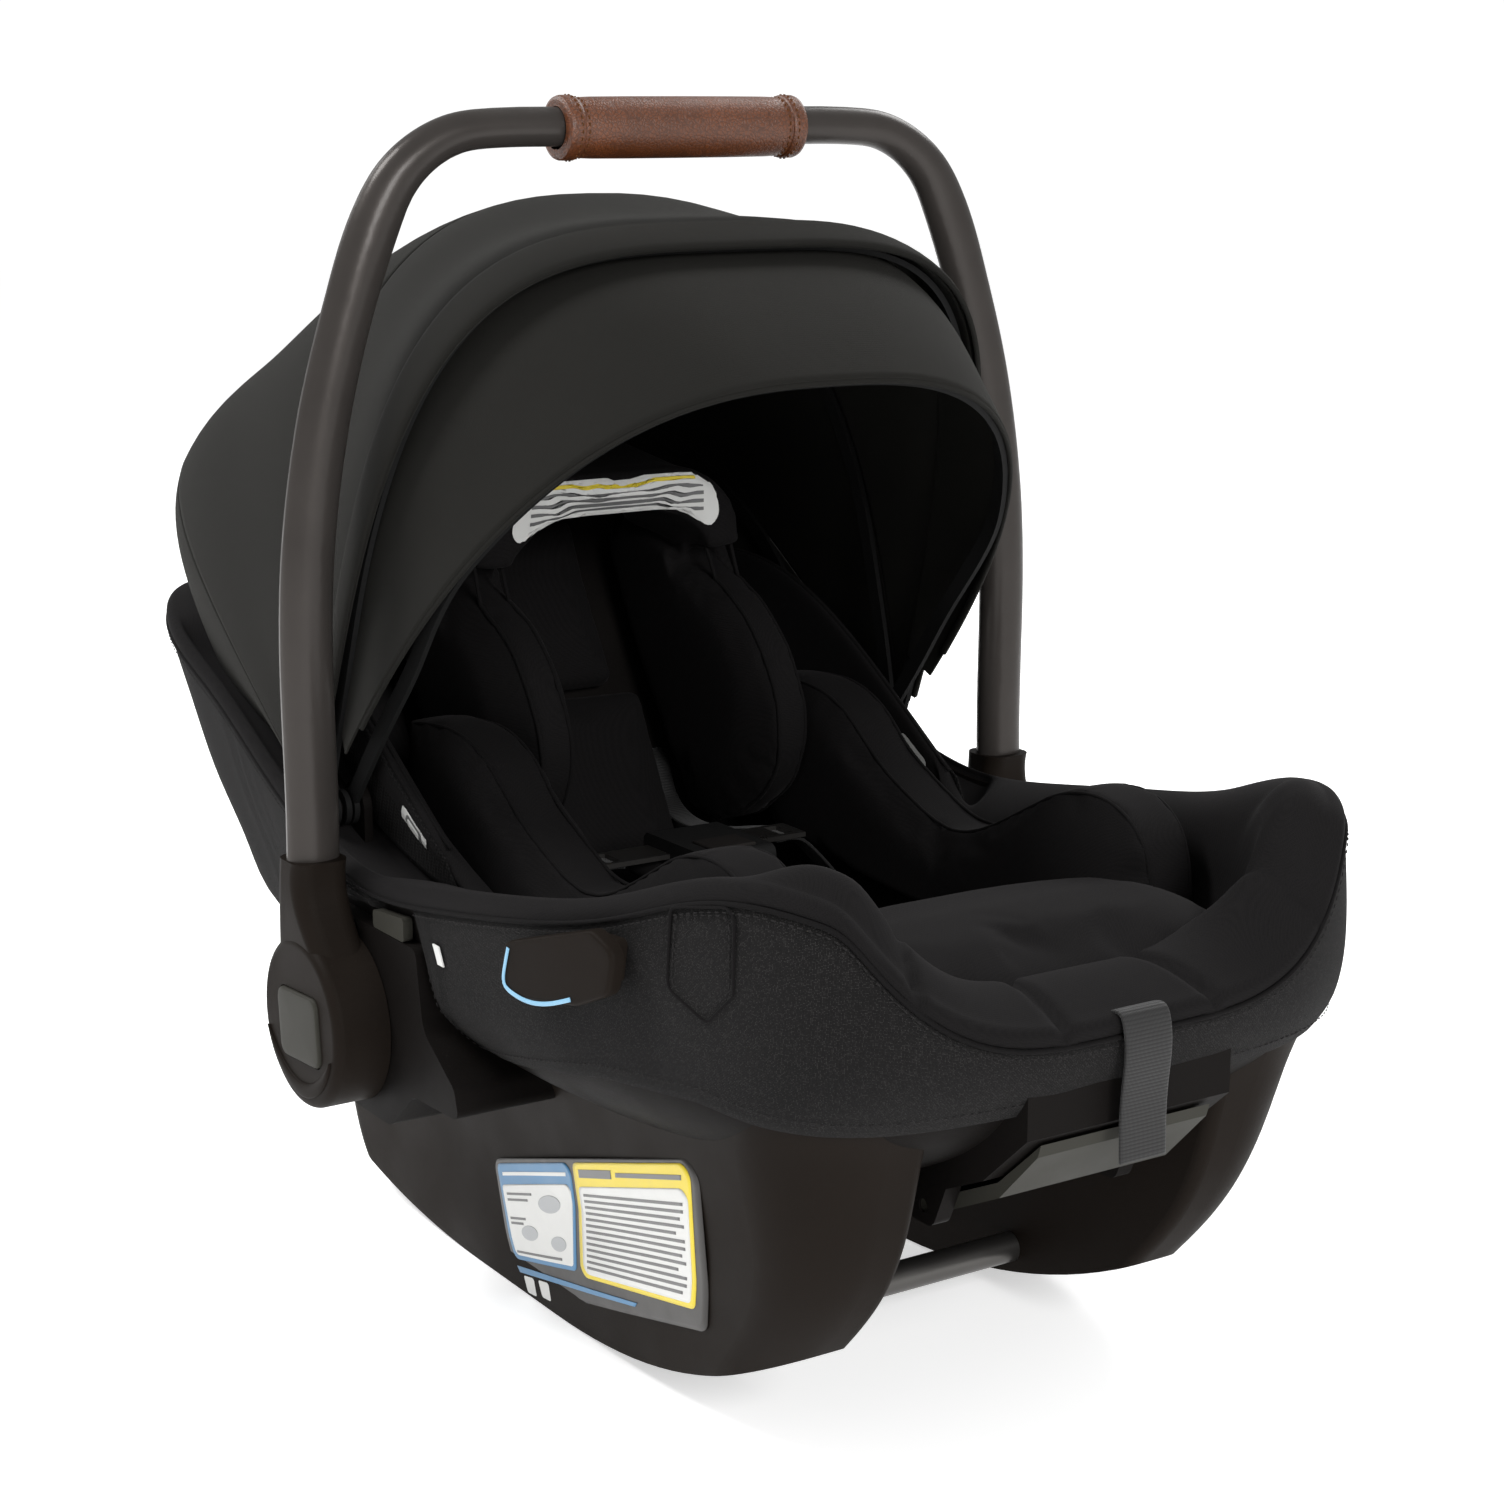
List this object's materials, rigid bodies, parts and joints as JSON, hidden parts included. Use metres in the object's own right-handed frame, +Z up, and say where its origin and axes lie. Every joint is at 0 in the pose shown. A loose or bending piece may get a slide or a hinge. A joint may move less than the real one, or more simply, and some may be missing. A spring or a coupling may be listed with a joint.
{
  "type": "infant car seat",
  "caption": "Rear facing infant car seat carrier with a folding carry handle, fold-back canopy with visor, padded bucket, rocker skirts and cross bars for a base.",
  "frame": {"origin": "bottom centre of the bounding box", "axes": "+X across the seat, +Y from the foot end to the head end, +Z up"},
  "size_m": [0.444, 0.6753, 0.582],
  "materials": {
    "shell_plastic": "moulded, fine texture",
    "skirt_plastic": "moulded, satin",
    "button_plastic": "moulded, satin",
    "handle_metal": "satin paint",
    "grip_leather": "grained, stitched",
    "steel": "dark coated",
    "gear_plastic": "moulded",
    "hoop_plastic": "moulded",
    "canopy_cloth": "close plain weave",
    "rim_weave": "coarse twill",
    "pad_knit": "soft jersey",
    "foam": "energy absorbing foam",
    "webbing": "ribbed webbing",
    "buckle_plastic": "moulded",
    "button_red": "moulded",
    "label": "printed film"
  },
  "bodies": {
    "carrier": {"adjuster_housing": "shell_plastic", "adjuster_strap": "webbing", "back_insert": "pad_knit", "base_release_housing": "shell_plastic", "base_skirt_left": "skirt_plastic", "base_skirt_right": "skirt_plastic", "belt_guide_left": "skirt_plastic", "belt_guide_right": "skirt_plastic", "body_wing_left": "pad_knit", "body_wing_right": "pad_knit", "buckle_body": "buckle_plastic", "buckle_tongue_left": "steel", "buckle_tongue_right": "steel", "canopy_hoop_rear": "hoop_plastic", "canopy_mid_cloth": "canopy_cloth", "canopy_mount_left": "shell_plastic", "canopy_mount_right": "shell_plastic", "canopy_rear_cloth": "canopy_cloth", "crotch_pad": "pad_knit", "crotch_strap": "webbing", "foam_liner": "foam", "foot_roll": "pad_knit", "front_cross_bar": "steel", "hub_bracket_left": "shell_plastic", "hub_bracket_right": "shell_plastic", "lap_strap_left": "webbing", "lap_strap_right": "webbing", "lower_back_pad": "pad_knit", "pivot_bolt_left": "steel", "pivot_bolt_right": "steel", "rear_cross_bar": "steel", "rim_cover": "rim_weave", "seat_cushion": "pad_knit", "seat_pad": "pad_knit", "seat_shell": "shell_plastic", "shoulder_strap_left": "webbing", "shoulder_strap_right": "webbing", "side_label": "label"},
    "handle": {"handle_tube": "handle_metal", "handle_grip": "grip_leather", "handle_hub_left": "skirt_plastic", "handle_hub_right": "skirt_plastic"},
    "handle_button_left": {"handle_button_left": "button_plastic"},
    "handle_button_right": {"handle_button_right": "button_plastic"},
    "lock_gear_left": {"lock_gear_left": "gear_plastic"},
    "lock_gear_right": {"lock_gear_right": "gear_plastic"},
    "canopy_mid": {"canopy_hoop_mid": "hoop_plastic"},
    "canopy_front": {"canopy_hoop_front": "hoop_plastic", "canopy_front_cloth": "canopy_cloth"},
    "canopy_visor": {"canopy_hoop_visor": "hoop_plastic", "canopy_visor_cloth": "canopy_cloth"},
    "stroller_tab_left": {"stroller_tab_left": "button_plastic"},
    "stroller_tab_right": {"stroller_tab_right": "button_plastic"},
    "base_lever": {"base_release_lever": "button_plastic"},
    "headrest": {"headrest_board": "shell_plastic", "headrest_pad": "pad_knit", "headrest_cushion": "pad_knit"},
    "adjuster_button": {"adjuster_button": "button_red"},
    "buckle_button": {"buckle_button": "button_red"}
  },
  "joints": [
    {"name": "handle_fold", "type": "hinge", "parent": "carrier", "child": "handle", "pos_m": [0, 0.019, 0.15], "axis": [1, 0, 0], "range_deg": [-105, 0]},
    {"name": "handle_button_left", "type": "slide", "parent": "handle", "child": "handle_button_left", "axis": [1, 0, 0], "range_m": [0, 0.004], "stiffness_N_per_m": 900, "springref_m": -0.002},
    {"name": "handle_button_right", "type": "slide", "parent": "handle", "child": "handle_button_right", "axis": [-1, 0, 0], "range_m": [0, 0.004], "stiffness_N_per_m": 900, "springref_m": -0.002},
    {"name": "lock_gear_left", "type": "slide", "parent": "carrier", "child": "lock_gear_left", "axis": [1, 0, 0], "range_m": [0, 0.004]},
    {"name": "lock_gear_right", "type": "slide", "parent": "carrier", "child": "lock_gear_right", "axis": [-1, 0, 0], "range_m": [0, 0.004]},
    {"name": "canopy_fold", "type": "hinge", "parent": "carrier", "child": "canopy_mid", "pos_m": [0, 0.08, 0.236], "axis": [1, 0, 0], "range_deg": [-40, 0], "deforming": ["canopy_mid_cloth"]},
    {"name": "canopy_front_fold", "type": "hinge", "parent": "canopy_mid", "child": "canopy_front", "pos_m": [0, 0.08, 0.236], "axis": [1, 0, 0], "range_deg": [-24, 0], "deforming": ["canopy_front_cloth"]},
    {"name": "visor_fold", "type": "hinge", "parent": "canopy_front", "child": "canopy_visor", "pos_m": [0, 0.08, 0.236], "axis": [1, 0, 0], "range_deg": [-14, 0], "deforming": ["canopy_visor_cloth"]},
    {"name": "stroller_tab_left", "type": "slide", "parent": "carrier", "child": "stroller_tab_left", "axis": [0, 0, 1], "range_m": [0, 0.004], "stiffness_N_per_m": 500, "springref_m": -0.002},
    {"name": "stroller_tab_right", "type": "slide", "parent": "carrier", "child": "stroller_tab_right", "axis": [0, 0, 1], "range_m": [0, 0.004], "stiffness_N_per_m": 500, "springref_m": -0.002},
    {"name": "base_release", "type": "hinge", "parent": "carrier", "child": "base_lever", "pos_m": [0, -0.259, 0.115], "axis": [1, 0, 0], "range_deg": [0, 12], "stiffness_Nm_per_rad": 1.2, "springref_deg": -17.19},
    {"name": "headrest_slide", "type": "slide", "parent": "carrier", "child": "headrest", "axis": [0, 0.5, 0.866], "range_m": [0, 0.035]},
    {"name": "adjuster_button", "type": "slide", "parent": "carrier", "child": "adjuster_button", "axis": [0, 0, -1], "range_m": [0, 0.0018], "stiffness_N_per_m": 600, "springref_m": -0.001},
    {"name": "buckle_button", "type": "slide", "parent": "carrier", "child": "buckle_button", "axis": [0, 0, -1], "range_m": [0, 0.0025], "stiffness_N_per_m": 600, "springref_m": -0.001}
  ],
  "couplings": [
    {"joint": "lock_gear_left", "follows": "handle_button_left", "ratio": 1},
    {"joint": "lock_gear_right", "follows": "handle_button_right", "ratio": 1}
  ]
}
